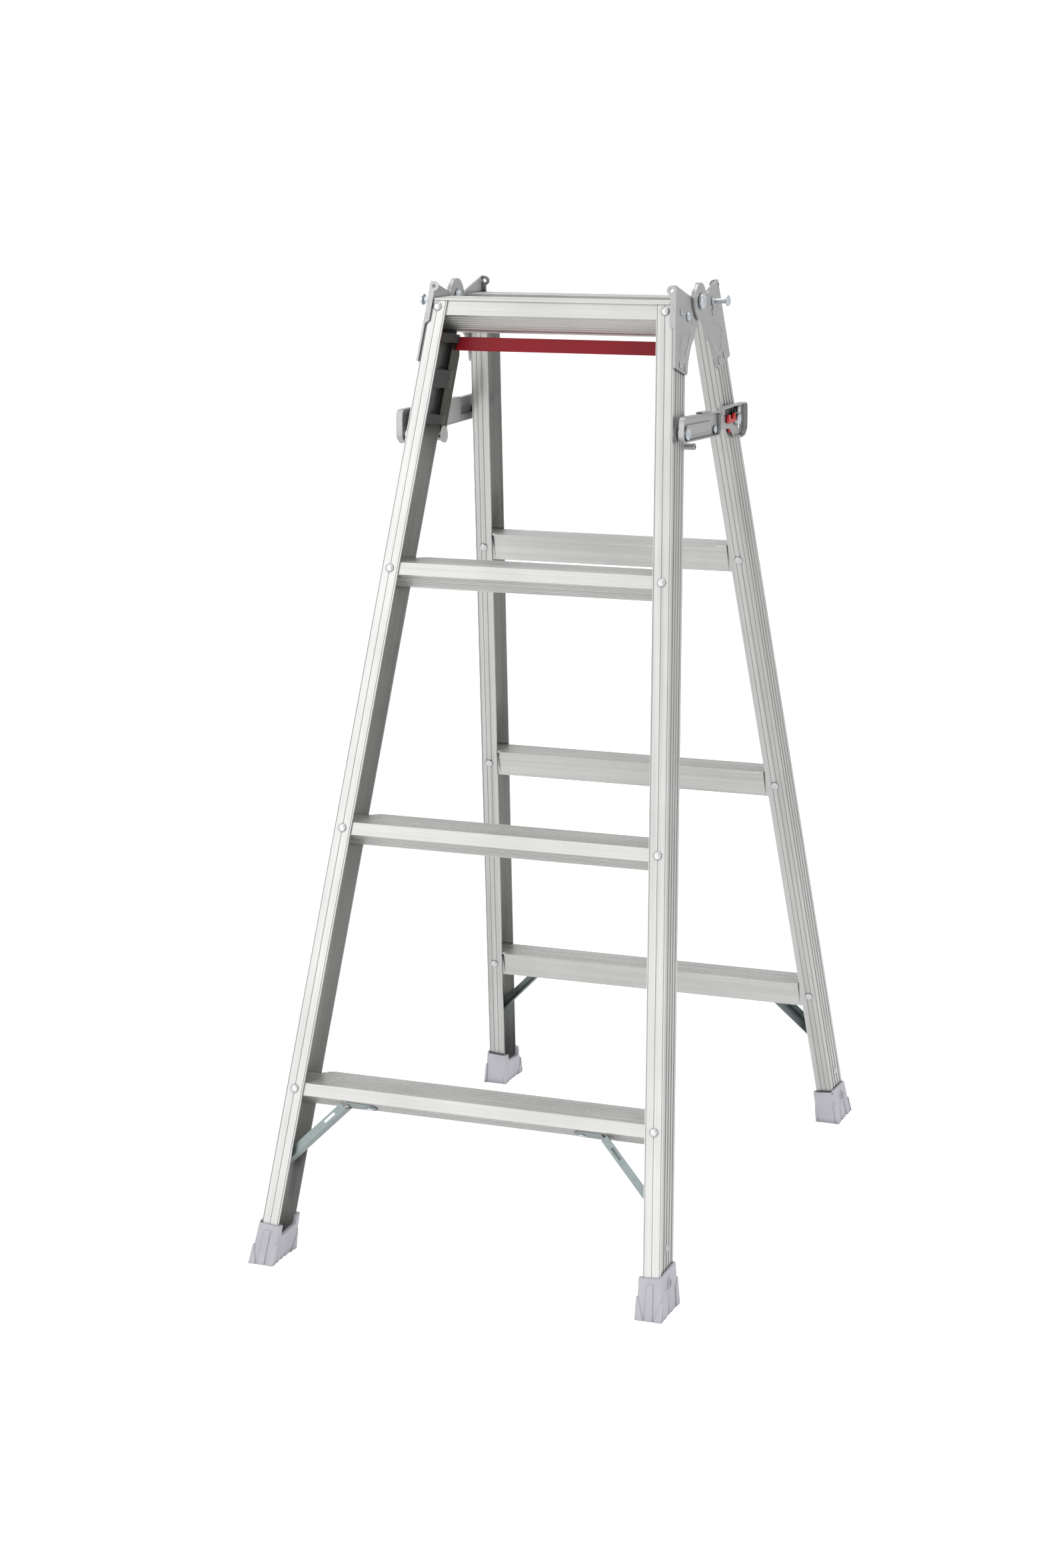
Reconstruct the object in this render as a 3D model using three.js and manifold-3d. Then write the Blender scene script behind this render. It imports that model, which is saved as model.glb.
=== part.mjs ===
// Multi position ladder: two tapered four-tread frames hinged at the top, with folding side stays,
// a lift-up release bar on the front frame, corner braces and moulded feet.
// Millimetres, +Z up, origin on the floor under the hinge axis. The front frame leans to -Y.
import * as THREE from "three";
import { mergeVertices } from "three/addons/utils/BufferGeometryUtils.js";
import Module from "manifold-3d";

const wasm = await Module();
wasm.setup();

// ---- driving dimensions ------------------------------------------------------------------------
const lean = THREE.MathUtils.degToRad(15.8);
const hingeHeight = 1068;
const webAtHinge = 144.7;
const splaySlope = 0.087;
const railFront = 77;
const railDepth = 44.3;
const railWidth = 20.9;
const wall = 1.8;
const gap = 0.3;
const treadLevels = [29.5, 332, 632, 932];
const plateThick = 2.5;
const eyeRadius = 21;
const pinRadius = 5;
const stayHeight = -141;
const stayReach = 97;
const stayBase = 163;

// ---- derived dimensions ------------------------------------------------------------------------
const splay = Math.atan(splaySlope);
const leanSlope = Math.tan(lean);
const railBack = railFront - railDepth;
const flangeInside = railFront - wall;
const backInside = railBack + wall;
const railBottomHeight = 12;

// ---- materials ---------------------------------------------------------------------------------
const finishes = {
  railAluminium: [0xd9d9d5, 0.38, 0.9],
  treadAluminium: [0xc2c2ba, 0.45, 0.85],
  plateSteel: [0xb0b0b0, 0.42, 0.85],
  pinZinc: [0xc9d0d4, 0.3, 0.95],
  braceZinc: [0x9fa9a8, 0.45, 0.85],
  footPlastic: [0xc8c7cf, 0.6, 0],
  guidePlastic: [0x5a5d58, 0.6, 0],
  releaseRed: [0x8e2030, 0.25, 0],
  latchRed: [0xd01818, 0.35, 0],
  washerWhite: [0xe8e8e6, 0.5, 0],
};

// ---- geometry helpers --------------------------------------------------------------------------
function toSolid(geometry) {
  const bare = geometry.clone();
  bare.deleteAttribute("normal");
  bare.deleteAttribute("uv");
  const merged = mergeVertices(bare, 1e-4);
  const mesh = new wasm.Mesh({
    numProp: 3,
    vertProperties: new Float32Array(merged.attributes.position.array),
    triVerts: new Uint32Array(merged.index.array),
  });
  return new wasm.Manifold(mesh);
}

function toGeometry(solid) {
  const mesh = solid.getMesh();
  const geometry = new THREE.BufferGeometry();
  geometry.setAttribute("position", new THREE.BufferAttribute(new Float32Array(mesh.vertProperties), 3));
  geometry.setIndex(new THREE.BufferAttribute(new Uint32Array(mesh.triVerts), 1));
  return geometry;
}

function join(first, ...others) {
  let solid = toSolid(first);
  for (const other of others) {
    solid = solid.add(toSolid(other));
  }
  return toGeometry(solid);
}

function cut(first, ...tools) {
  let solid = toSolid(first);
  for (const tool of tools) {
    solid = solid.subtract(toSolid(tool));
  }
  return toGeometry(solid);
}

// Smallest convex body around a set of points.
function hull(points) {
  return toGeometry(wasm.Manifold.hull(points.map((point) => [point.x, point.y, point.z])));
}

// Extrudes a closed outline. The outline is drawn on the axes u and v and runs from `from` to `to`
// along their cross product.
function prism(outline, u, v, from, to, holes = [], segments = 6) {
  const shape = new THREE.Shape(outline.map(([a, b]) => new THREE.Vector2(a, b)));
  for (const hole of holes) {
    shape.holes.push(new THREE.Path(hole.map(([a, b]) => new THREE.Vector2(a, b))));
  }
  const geometry = new THREE.ExtrudeGeometry(shape, {
    depth: to - from,
    bevelEnabled: false,
    curveSegments: segments,
  });
  const w = new THREE.Vector3().crossVectors(u, v);
  geometry.translate(0, 0, from);
  geometry.applyMatrix4(new THREE.Matrix4().makeBasis(u, v, w));
  return geometry;
}

const axisX = new THREE.Vector3(1, 0, 0);
const axisY = new THREE.Vector3(0, 1, 0);
const axisZ = new THREE.Vector3(0, 0, 1);
const minusY = new THREE.Vector3(0, -1, 0);
const minusZ = new THREE.Vector3(0, 0, -1);

// Outline on (outward, down) coordinates of a frame, extruded along +X.
function sidePlate(outline, from, to, holes = []) {
  return prism(outline, minusY, minusZ, from, to, holes);
}

function box(x0, x1, y0, y1, z0, z1) {
  const geometry = new THREE.BoxGeometry(x1 - x0, y1 - y0, z1 - z0);
  geometry.translate((x0 + x1) / 2, (y0 + y1) / 2, (z0 + z1) / 2);
  return geometry;
}

// Box given in (x, outward, down) coordinates of a frame.
function frameBox(x0, x1, out0, out1, down0, down1) {
  return box(x0, x1, -out1, -out0, -down1, -down0);
}

function ring(centreA, centreB, radius, count = 20) {
  const points = [];
  for (let i = 0; i < count; i += 1) {
    const angle = (i * 2 * Math.PI) / count;
    points.push([centreA + radius * Math.cos(angle), centreB + radius * Math.sin(angle)]);
  }
  return points;
}

// Rounds every corner of a polygon; a corner may carry its own radius as a third value.
function rounded(points, radius, steps = 4) {
  const result = [];
  points.forEach((point, i) => {
    const corner = new THREE.Vector2(point[0], point[1]);
    const before = new THREE.Vector2(...points[(i + points.length - 1) % points.length].slice(0, 2));
    const after = new THREE.Vector2(...points[(i + 1) % points.length].slice(0, 2));
    const size = point[2] ?? radius;
    if (size <= 0) {
      result.push([corner.x, corner.y]);
      return;
    }
    const toBefore = before.clone().sub(corner);
    const toAfter = after.clone().sub(corner);
    const half = Math.abs(toBefore.angleTo(toAfter)) / 2;
    const limit = 0.48 * Math.min(toBefore.length(), toAfter.length());
    const back = Math.min(size / Math.tan(half), limit);
    const start = corner.clone().addScaledVector(toBefore.normalize(), back);
    const end = corner.clone().addScaledVector(toAfter.normalize(), back);
    const curve = new THREE.QuadraticBezierCurve(start, corner, end);
    for (const step of curve.getPoints(steps)) {
      result.push([step.x, step.y]);
    }
  });
  return result;
}

// Moves every side of a counter-clockwise polygon inward by a distance.
function inset(points, distance) {
  return points.map((point, i) => {
    const here = new THREE.Vector2(...point);
    const before = new THREE.Vector2(...points[(i + points.length - 1) % points.length]);
    const after = new THREE.Vector2(...points[(i + 1) % points.length]);
    const inDirection = here.clone().sub(before).normalize();
    const outDirection = after.clone().sub(here).normalize();
    const normalIn = new THREE.Vector2(-inDirection.y, inDirection.x);
    const normalOut = new THREE.Vector2(-outDirection.y, outDirection.x);
    const bisector = normalIn.clone().add(normalOut);
    const scale = distance / (1 + normalIn.dot(normalOut));
    here.addScaledVector(bisector, scale);
    return [here.x, here.y];
  });
}

// Straight side from a to b with square grooves sunk to the right of the direction of travel.
function grooved(a, b, count, depth, share = 0.35) {
  const start = new THREE.Vector2(...a);
  const run = new THREE.Vector2(...b).sub(start);
  const length = run.length();
  run.normalize();
  const sink = new THREE.Vector2(-run.y, run.x);
  const pitch = length / (count + 1);
  const points = [];
  for (let i = 1; i <= count; i += 1) {
    const centre = i * pitch;
    const half = (share * pitch) / 2;
    for (const [along, down] of [[-half, 0], [-half, depth], [half, depth], [half, 0]]) {
      const p = start.clone().addScaledVector(run, centre + along).addScaledVector(sink, down);
      points.push([p.x, p.y]);
    }
  }
  return points;
}

function mirrorX(geometry) {
  const flat = geometry.index ? geometry.toNonIndexed() : geometry.clone();
  const position = flat.attributes.position;
  for (let i = 0; i < position.count; i += 3) {
    const corners = [0, 1, 2].map((k) => new THREE.Vector3().fromBufferAttribute(position, i + k));
    const order = [0, 2, 1];
    order.forEach((from, k) => {
      position.setXYZ(i + k, -corners[from].x, corners[from].y, corners[from].z);
    });
  }
  return flat;
}

// Matrices from the local spaces into the world.
const frameMatrix = new THREE.Matrix4()
  .makeTranslation(0, 0, hingeHeight)
  .multiply(new THREE.Matrix4().makeRotationX(-lean));
const turnAround = new THREE.Matrix4().makeRotationZ(Math.PI);
const railMatrix = new THREE.Matrix4()
  .makeTranslation(webAtHinge, 0, 0)
  .multiply(new THREE.Matrix4().makeRotationY(-splay));
const worldFromHinge = new THREE.Matrix4().makeTranslation(0, 0, hingeHeight);
const frameFromHinge = frameMatrix.clone().invert().multiply(worldFromHinge);

const model = new THREE.Group();
model.name = "multi_position_ladder";

function addPart(name, geometry, finish, matrix) {
  const placed = geometry.clone().applyMatrix4(matrix);
  const flat = placed.index ? placed.toNonIndexed() : placed;
  flat.deleteAttribute("uv");
  flat.computeVertexNormals();
  const [color, roughness, metalness] = finishes[finish];
  const material = new THREE.MeshStandardMaterial({ color, roughness, metalness });
  material.name = finish;
  const mesh = new THREE.Mesh(flat, material);
  mesh.name = name;
  model.add(mesh);
}

function webAt(down) {
  return webAtHinge + splaySlope * down;
}

// ---- side rails --------------------------------------------------------------------------------
const capTopAtFront = 9.5;
const capThick = 2.2;
const capFront = railFront + 1;

function capTop(out) {
  return treadLevels[0] - capTopAtFront - (capFront - out) * leanSlope;
}

function railTop(out) {
  return capTop(out) + (capThick + gap) / Math.cos(lean);
}

function railBottom(out, height = railBottomHeight) {
  return (hingeHeight - height) / Math.cos(lean) + out * leanSlope;
}

// Prism along a rail whose two ends are cut by the given level functions of the outward distance.
function railPrism(outline, topLevel, bottomLevel, holes = []) {
  const geometry = prism(outline, axisX, axisY, 0, 1, holes);
  const position = geometry.attributes.position;
  for (let i = 0; i < position.count; i += 1) {
    const x = position.getX(i);
    const out = -position.getY(i);
    const down = position.getZ(i) > 0.5 ? topLevel(out) : bottomLevel(out);
    position.setZ(i, (-down - x * Math.sin(splay)) / Math.cos(splay));
  }
  return geometry;
}

// Groove line in a rail flange, as four outline points from x0 to x1 sunk along y.
function flangeGroove(x0, x1, y, sink) {
  return [[x0, y], [x0, y + sink], [x1, y + sink], [x1, y]];
}

function railSection() {
  const rib = 0.6;
  const line = 0.5;
  const edge = 1.1;
  const lineWidth = 0.8;
  const middle = -railWidth / 2;
  const webRibs = grooved([0, -railFront], [0, -railBack], 4, rib, 0.55);
  return [
    [-railWidth, -railFront],
    ...flangeGroove(-railWidth + edge, -railWidth + edge + lineWidth, -railFront, line),
    ...flangeGroove(middle - lineWidth / 2, middle + lineWidth / 2, -railFront, line),
    ...flangeGroove(-edge - lineWidth, -edge, -railFront, line),
    [0, -railFront],
    ...webRibs,
    [0, -railBack],
    ...flangeGroove(-edge, -edge - lineWidth, -railBack, -line),
    ...flangeGroove(middle + 3.5, middle + 3.5 - lineWidth, -railBack, -line),
    ...flangeGroove(middle - 3.5 + lineWidth, middle - 3.5, -railBack, -line),
    [-railWidth, -railBack],
    [-railWidth, -backInside],
    [-wall, -backInside],
    [-wall, -flangeInside],
    [-railWidth, -flangeInside],
  ];
}

const footHole = { out: 56, down: 1060, radius: 3.2 };

function rail(withStayPivot) {
  const body = railPrism(railSection(), railTop, (out) => railBottom(out));
  const tools = [sidePlate(ring(footHole.out, footHole.down, footHole.radius, 14), -5, 5)];
  if (withStayPivot) {
    const hole = prism(ring(-stayReach, stayHeight, 3.9), axisY, axisZ, 140, 180);
    const intoRail = railMatrix.clone().invert().multiply(frameFromHinge);
    tools.push(hole.applyMatrix4(intoRail));
  }
  return cut(body, ...tools);
}

// ---- treads ------------------------------------------------------------------------------------
const treadFront = flangeInside - gap;
const treadBack = backInside + gap;
const lipEnd = 24.7;

function endCut(outline, inside, holes = []) {
  const geometry = prism(outline, axisY, axisZ, -1, 1, holes);
  const position = geometry.attributes.position;
  for (let i = 0; i < position.count; i += 1) {
    const down = -position.getZ(i);
    const side = Math.sign(position.getX(i));
    position.setX(i, side * (webAt(down) - inside));
  }
  return geometry;
}

function treadBody(level, topEdge, bottomFront, bottomBack) {
  const topAt = (out) => topEdge + (treadFront - out) * leanSlope;
  const topFront = [-treadFront, topEdge];
  const topBack = [-lipEnd, topAt(lipEnd)];
  const lipRoot = [-treadBack, topAt(treadBack) - 2.9];
  const lipUnder = [-lipEnd, topBack[1] - 2.6];
  const heel = [-treadBack, bottomBack];
  const toe = [-45, bottomBack];
  const chin = [-treadFront, bottomFront];
  const outline = [
    topFront,
    chin,
    ...grooved(chin, toe, 6, 0.5, 0.4),
    toe,
    heel,
    lipRoot,
    lipUnder,
    topBack,
    ...grooved(topBack, topFront, 8, 0.5, 0.3),
  ];
  const tube = [topFront, chin, toe, heel, [-treadBack, topAt(treadBack)]];
  const place = (points) => points.map(([y, h]) => [y, h - level]);
  return endCut(place(outline), wall + gap, [place(inset(tube, 1.6)).reverse()]);
}

// Cuts the back lip away at both ends so that it passes between the rails.
function lipCutters(level) {
  const cutters = [];
  for (const side of [-1, 1]) {
    const reach = webAt(level - 22) - railWidth - 0.8;
    const outline = [
      [side * reach, -lipEnd - 7],
      [side * reach, -treadBack - 0.001],
      [side * (reach + 60), -treadBack - 0.001],
      [side * (reach + 60), -lipEnd + 5],
      [side * (reach - 10), -lipEnd + 5],
      [side * (reach - 10), -lipEnd],
    ];
    cutters.push(prism(outline, axisX, axisY, -level - 40, -level + 40));
  }
  return cutters;
}

function tread(level) {
  return cut(treadBody(level, 7.3, -6.9, -16.2), ...lipCutters(level));
}

// The top tread also carries a level cap that covers both rail ends.
function topTread() {
  const level = treadLevels[0];
  const body = cut(treadBody(level, 8.8, -9.1, -20.3), ...lipCutters(level));
  const capBottom = (out) => capTop(out) + capThick / Math.cos(lean);
  const outline = [
    [-capFront, -capTop(capFront)],
    [-capFront, -capBottom(capFront)],
    [-lipEnd, -capBottom(lipEnd)],
    [-lipEnd, -capTop(lipEnd)],
    ...grooved([-lipEnd, -capTop(lipEnd)], [-capFront, -capTop(capFront)], 8, 0.5, 0.3),
  ];
  const cap = endCut(outline, 0);
  const trimmed = cut(cap, ...[-1, 1].map((side) => {
    const inner = webAt(20) - 4.8;
    const edges = side > 0 ? [inner, inner + 20] : [-inner - 20, -inner];
    return frameBox(edges[0], edges[1], railFront - 0.1, railFront + 5, 0, 40);
  }));
  return join(body, trimmed);
}

// ---- corner braces -----------------------------------------------------------------------------
const braceOut = [50, 69.5];

function brace() {
  const level = treadLevels[3];
  const thick = 1.6;
  const slope = (16.2 - 6.9) / (treadFront - 45);
  const under = (out) => level + 6.9 + (treadFront - out) * slope + gap;
  const tab = prism(
    rounded([[106, 51.5, 7], [106, 68.5, 7], [72, 69.5, 0], [72, 50, 0]], 5),
    new THREE.Vector3(-1, 0, 0),
    minusY,
    0,
    1,
  );
  const position = tab.attributes.position;
  for (let i = 0; i < position.count; i += 1) {
    const down = under(-position.getY(i)) + (position.getZ(i) > 0.5 ? 0 : thick);
    position.setX(i, position.getX(i) + webAt(level));
    position.setZ(i, -down);
  }
  const topX = webAt(level) - 72.2;
  const footDown = 1030;
  const footX = webAt(footDown) - wall - gap - 0.1;
  const topDown = level + 16.2;
  const along = new THREE.Vector2(footX - topX, footDown - topDown).normalize();
  const across = new THREE.Vector2(along.y, -along.x);
  const strand = (offset0, offset1, out0, out1, drop = 0) => {
    const corners = [
      [topX + across.x * offset0, topDown - drop + across.y * offset0],
      [topX + across.x * offset1, topDown - drop + across.y * offset1],
      [footX + across.x * offset1, footDown + across.y * offset1],
      [footX + across.x * offset0, footDown + across.y * offset0],
    ];
    return prism(corners.map(([x, down]) => [x, -down]), axisX, axisZ, out0, out1);
  };
  const strip = strand(0, thick, braceOut[0], braceOut[1]);
  const flange = strand(0, 9, braceOut[1] - thick, braceOut[1]);
  const footEnd = footDown + 38;
  const foot = prism(
    rounded([[50, footDown - 5, 0], [69.5, footDown - 5, 0], [66, footEnd, 8], [53, footEnd, 8]], 6),
    minusY,
    minusZ,
    -wall - gap - thick,
    -wall - gap,
  ).applyMatrix4(railMatrix);
  const trimTop = frameBox(0, 400, 30, 90, level - 60, level + 6.9);
  const wedge = prism(
    [[-30, -under(30)], [-80, -under(80)], [-80, 60 - level], [-30, 60 - level]],
    axisY,
    axisZ,
    0,
    400,
  );
  const beyondWeb = box(-wall - gap, 40, -90, -20, -1200, -900).applyMatrix4(railMatrix);
  const slot = prism(
    [[0, 3.4], [0, 6.6], [16, 6.6], [16, 3.4]].map(([a, b]) => [
      topX + along.x * (14 + a) + across.x * b,
      -(topDown + along.y * (14 + a) + across.y * b),
    ]),
    axisX,
    axisZ,
    braceOut[1] - 5,
    braceOut[1] + 5,
  );
  return cut(join(tab, strip, flange, foot), trimTop, wedge, beyondWeb, slot);
}

// ---- feet --------------------------------------------------------------------------------------
// Point beside a rail, given across it, outward and down the frame, in world coordinates.
function railPoint(x, out, down) {
  const z = (-down - x * Math.sin(splay)) / Math.cos(splay);
  return new THREE.Vector3(x, -out, z).applyMatrix4(railMatrix).applyMatrix4(frameMatrix);
}

const bootHeight = 39.5;
const bootPeak = 46;
const bootInner = -railWidth - gap - 3.7;
const bootOuter = gap + 2.3;
const bootFront = railFront + gap + 2.5;
const bootBack = railBack - gap - 2.9;
const sole = { inner: 217.6, outer: 246.4, front: -390, back: -327.5 };

// Places points on one face of the boot: `along` runs across the face, `up` from sole to rim.
function bootFace(corners, outward) {
  const [lowA, lowB, highA, highB] = corners;
  return (along, up, proud) => {
    const low = lowA.clone().lerp(lowB, along);
    const high = highA.clone().lerp(highB, along);
    return low.lerp(high, up).addScaledVector(outward, proud);
  };
}

// Raised pad on a boot face, from its outline in (along, up) and how far it stands proud.
function bootPad(face, outline, proud) {
  const outside = outline.map(([along, up, own]) => face(along, up, own ?? proud));
  const inside = outline.map(([along, up]) => face(along, up, -2));
  return hull([...outside, ...inside]);
}

function bootCore() {
  const upper = rounded([
    [bootInner, -bootFront],
    [bootOuter, -bootFront],
    [bootOuter, -bootBack],
    [bootInner, -bootBack],
  ], 3, 4).map(([x, y]) => railPoint(x, -y, railBottom(-y, bootPeak)));
  const lower = rounded([
    [sole.inner, sole.front],
    [sole.outer, sole.front],
    [sole.outer, sole.back],
    [sole.inner, sole.back],
  ], 4, 4).map(([x, y]) => new THREE.Vector3(x, y, 0));
  return hull([...upper, ...lower]);
}

function bootPads() {
  const corner = (x, out) => railPoint(x, out, railBottom(out, bootPeak));
  const front = bootFace([
    new THREE.Vector3(sole.inner, sole.front, 0),
    new THREE.Vector3(sole.outer, sole.front, 0),
    corner(bootInner, bootFront),
    corner(bootOuter, bootFront),
  ], new THREE.Vector3(0, -1, 0));
  const side = bootFace([
    new THREE.Vector3(sole.outer, sole.front, 0),
    new THREE.Vector3(sole.outer, sole.back, 0),
    corner(bootOuter, bootFront),
    corner(bootOuter, bootBack),
  ], new THREE.Vector3(1, 0, 0));
  const inner = bootFace([
    new THREE.Vector3(sole.inner, sole.front, 0),
    new THREE.Vector3(sole.inner, sole.back, 0),
    corner(bootInner, bootFront),
    corner(bootInner, bootBack),
  ], new THREE.Vector3(-1, 0, 0));
  return [
    bootPad(front, [[0.36, 0], [0.66, 0], [0.64, 0.8], [0.38, 0.8]], 0.9),
    bootPad(front, [[-0.04, 0], [0.3, 0], [0.03, 0.52, 0.2], [-0.04, 0.5, 0.2]], 1.2),
    bootPad(front, [[0.72, 0], [1.03, 0], [1.03, 0.44, 0.2], [0.97, 0.46, 0.2]], 1.2),
    bootPad(side, [[0.06, 0], [0.36, 0], [0.36, 0.62], [0.06, 0.62, 0.2]], 0.8),
    bootPad(side, [[0.44, 0], [0.72, 0], [0.72, 0.4], [0.44, 0.74, 0.3]], 0.6),
    bootPad(side, [[0.82, 0], [1.02, 0], [1.02, 0.62, 0.3], [0.82, 0.5]], 1.1),
    bootPad(inner, [[-0.01, 0], [0.22, 0], [0.02, 0.5, 0.2]], 1.1),
    bootPad(inner, [[0.78, 0], [1.01, 0], [0.98, 0.5, 0.2]], 1.1),
  ];
}

// Space above the boot's rim: level over the flanges and the open side, arched over the web.
function bootTrims() {
  const level = (out, drop = 0) => railBottom(out, bootHeight) + drop;
  const above = 960;
  const openSide = sidePlate([
    [20, above],
    [20, level(20)],
    [90, level(90)],
    [90, above],
  ], -40, 0.1);
  const web = sidePlate([
    [20, above],
    [20, level(20, 4)],
    [bootBack + 1, level(bootBack, 3)],
    [bootBack + 4, level(bootBack, -2.5)],
    [bootBack + 12, level(bootBack + 12, -6.2)],
    [bootBack + 24, level(bootBack + 24, -6.6)],
    [bootBack + 36, level(bootBack + 36, -4.8)],
    [bootBack + 44, level(bootBack + 44, -2)],
    [bootFront + 3, level(bootFront, 0.4)],
    [90, level(90, 0.4)],
    [90, above],
  ], 0.1, 12);
  const notch = sidePlate(rounded([
    [backInside + 4, above, 0],
    [backInside + 4, level(backInside, 11), 4],
    [flangeInside - 2, level(flangeInside, 13), 4],
    [flangeInside - 2, above, 0],
  ], 4, 5), -40, -railWidth - gap + 0.1);
  return [openSide, web, notch].map((tool) =>
    tool.applyMatrix4(railMatrix).applyMatrix4(frameMatrix));
}

function foot() {
  const pocketOutline = [
    [-railWidth - gap, -railFront - gap],
    [gap, -railFront - gap],
    [gap, -railBack + gap],
    [-railWidth - gap, -railBack + gap],
  ];
  const pocket = railPrism(pocketOutline, (out) => railBottom(out, 80), (out) =>
    railBottom(out, railBottomHeight - gap));
  pocket.applyMatrix4(railMatrix).applyMatrix4(frameMatrix);
  const soleGrooves = [];
  for (let i = 0; i < 5; i += 1) {
    const y = -380 + i * 11;
    soleGrooves.push(box(210, 255, y - 2, y + 2, -1, 1.6));
  }
  const underfoot = box(200, 260, -400, -300, -10, 0);
  const dimpleAt = { out: 57, down: railBottom(57, bootHeight) + 12 };
  const collar = lathe([
    [0, -1],
    [6.1, -1],
    [6.1, 3.5],
    [5.6, 4],
    [4.6, 4],
    [4.6, 3.2],
    [1.6, 3.2],
    [1.6, 3.8],
    [0, 3.8],
  ], 24).applyMatrix4(new THREE.Matrix4().makeTranslation(gap, -dimpleAt.out, -dimpleAt.down));
  collar.applyMatrix4(railMatrix).applyMatrix4(frameMatrix);
  const boot = cut(join(bootCore(), ...bootPads()), ...bootTrims());
  return cut(join(boot, collar), pocket, underfoot, ...soleGrooves);
}

// ---- hinge plates ------------------------------------------------------------------------------
const bodyInner = gap;
const bodyOuter = gap + plateThick;
const innerEye = 146.3;
const outerEye = innerEye + plateThick + gap;
const intoRail = railMatrix.clone().invert();

function eyeDisc(x0, extra = []) {
  const outline = extra.length ? extra : ring(0, 0, eyeRadius, 48);
  return sidePlate(outline, x0, x0 + plateThick);
}

function plateFlange() {
  const front = railFront + gap;
  const back = front + plateThick;
  const wrap = prism(
    rounded([
      [bodyOuter, -8, 0],
      [bodyOuter, -50, 0],
      [0.5, -50, 0],
      [-4, -46, 1],
      [-4, -10, 1],
      [-1, -6, 0],
    ], 1),
    axisX,
    axisZ,
    front,
    back,
  );
  const ear = prism(ring(-2.4, -6.3, 5.8, 24), axisX, axisZ, front, back);
  const bridge = prism([[-2.4, -0.6], [2.8, -0.6], [2.8, -12], [-2.4, -12]], axisX, axisZ, front, back);
  return join(wrap, ear, bridge);
}

function eyeHole() {
  return sidePlate(ring(0, 0, pinRadius + gap, 28), 130, 170).applyMatrix4(intoRail);
}

function earHole() {
  return prism(ring(-2.4, -6.3, 2.3, 14), axisX, axisZ, 70, 90);
}

// Plate whose eye lies in the inner layer, in the same sheet as its body.
function innerEyePlate() {
  const front = railFront + gap + plateThick;
  const outline = [
    [front, 0.6],
    [front, 93.5],
    [34.5, 92.5],
    [32.5, 89],
    [31, 78],
    [26, 67],
    [21, 57],
    [12, 47],
    [5, 36],
    [-4, 23.5],
    [-4, 17],
    [13, 0.6],
  ];
  const body = sidePlate(outline, bodyInner, bodyOuter);
  const eye = eyeDisc(innerEye).applyMatrix4(intoRail);
  const clear = sidePlate(ring(0, 0, eyeRadius + 4, 48), innerEye + plateThick, 160);
  clear.applyMatrix4(intoRail);
  const ramp = sidePlate([[16, 0.6], [30, 0.6], [30, 18], [14, 18]], innerEye, innerEye + 1.2);
  ramp.applyMatrix4(intoRail);
  const blank = join(cut(join(body, ramp), clear), eye, plateFlange());
  return cut(blank, eyeHole(), earHole());
}

// Plate whose eye lies in the outer layer and steps in to its body behind a joggle.
function outerEyePlate() {
  const front = railFront + gap + plateThick;
  const outline = [
    [front, 0.6],
    [front, 93.5],
    [34.5, 92.5],
    [30, 89],
    [27, 78],
    [24.5, 67],
    [21, 56],
    [10.5, 44],
    [23, 27],
    [23, 0.6],
  ];
  const body = sidePlate(outline, bodyInner, bodyOuter);
  const eye = eyeDisc(outerEye).applyMatrix4(intoRail);
  const neck = sidePlate([[0, 0.6], [36, 0.6], [36, 50], [19.5, 54], [8, 41], [4.6, 27], [0, 20]],
    outerEye, outerEye + plateThick).applyMatrix4(intoRail);
  const joggle = sidePlate([[24, 0.6], [36, 0.6], [36, 40], [26, 40], [24, 37]], 0.3, 9);
  const overEye = sidePlate([[-60, -60], [100, -60], [100, 120], [-60, 120]],
    outerEye + plateThick, 180).applyMatrix4(intoRail);
  const step = cut(joggle, overEye);
  const blank = join(body, step, eye, neck, plateFlange());
  return cut(blank, eyeHole(), earHole());
}

function lathe(profile, segments = 24) {
  const points = profile.map(([radius, along]) => new THREE.Vector2(radius, along));
  const geometry = new THREE.LatheGeometry(points, segments);
  const bare = geometry.clone();
  bare.deleteAttribute("normal");
  bare.deleteAttribute("uv");
  const merged = mergeVertices(bare, 1e-4);
  // The lathe axis is +Y; turn it to +X.
  merged.applyMatrix4(new THREE.Matrix4().makeRotationZ(-Math.PI / 2));
  return merged;
}

function hingePin() {
  return lathe([
    [0, 141.5],
    [4.6, 141.5],
    [6, 142.6],
    [6, 143.8],
    [8, 143.9],
    [8, 146],
    [pinRadius, 146],
    [pinRadius, outerEye + plateThick + gap],
    [8.75, outerEye + plateThick + gap],
    [8.75, 155.2],
    [7.6, 156.4],
    [0, 156.4],
  ], 28);
}

function catchPin() {
  const seat = bodyOuter + gap;
  return lathe([
    [0, seat],
    [4.6, seat],
    [4.6, seat + 2],
    [3.25, seat + 2.6],
    [3.25, 20.3],
    [6.5, 20.8],
    [6.5, 22.8],
    [5.2, 23.8],
    [0, 24.2],
  ]).translate(0, -48, -17);
}

// ---- side stays --------------------------------------------------------------------------------
// Drawn on (y, height above the pivots) with the pivots in line; layers stack outward along X.
const sheet = 1.6;
const linkBase = stayBase + sheet + gap;
const stayRim = linkBase + 5.9;
const jointAt = [8.5, -4];

function stayPlate(outline, from, to, holes = []) {
  const lifted = (points) => points.map(([y, v]) => [y, v + stayHeight]);
  return prism(lifted(outline), axisY, axisZ, from, to, holes.map(lifted));
}

function linkTop(y) {
  return 20.5 - 0.0327 * (y + 114.4);
}

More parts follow.
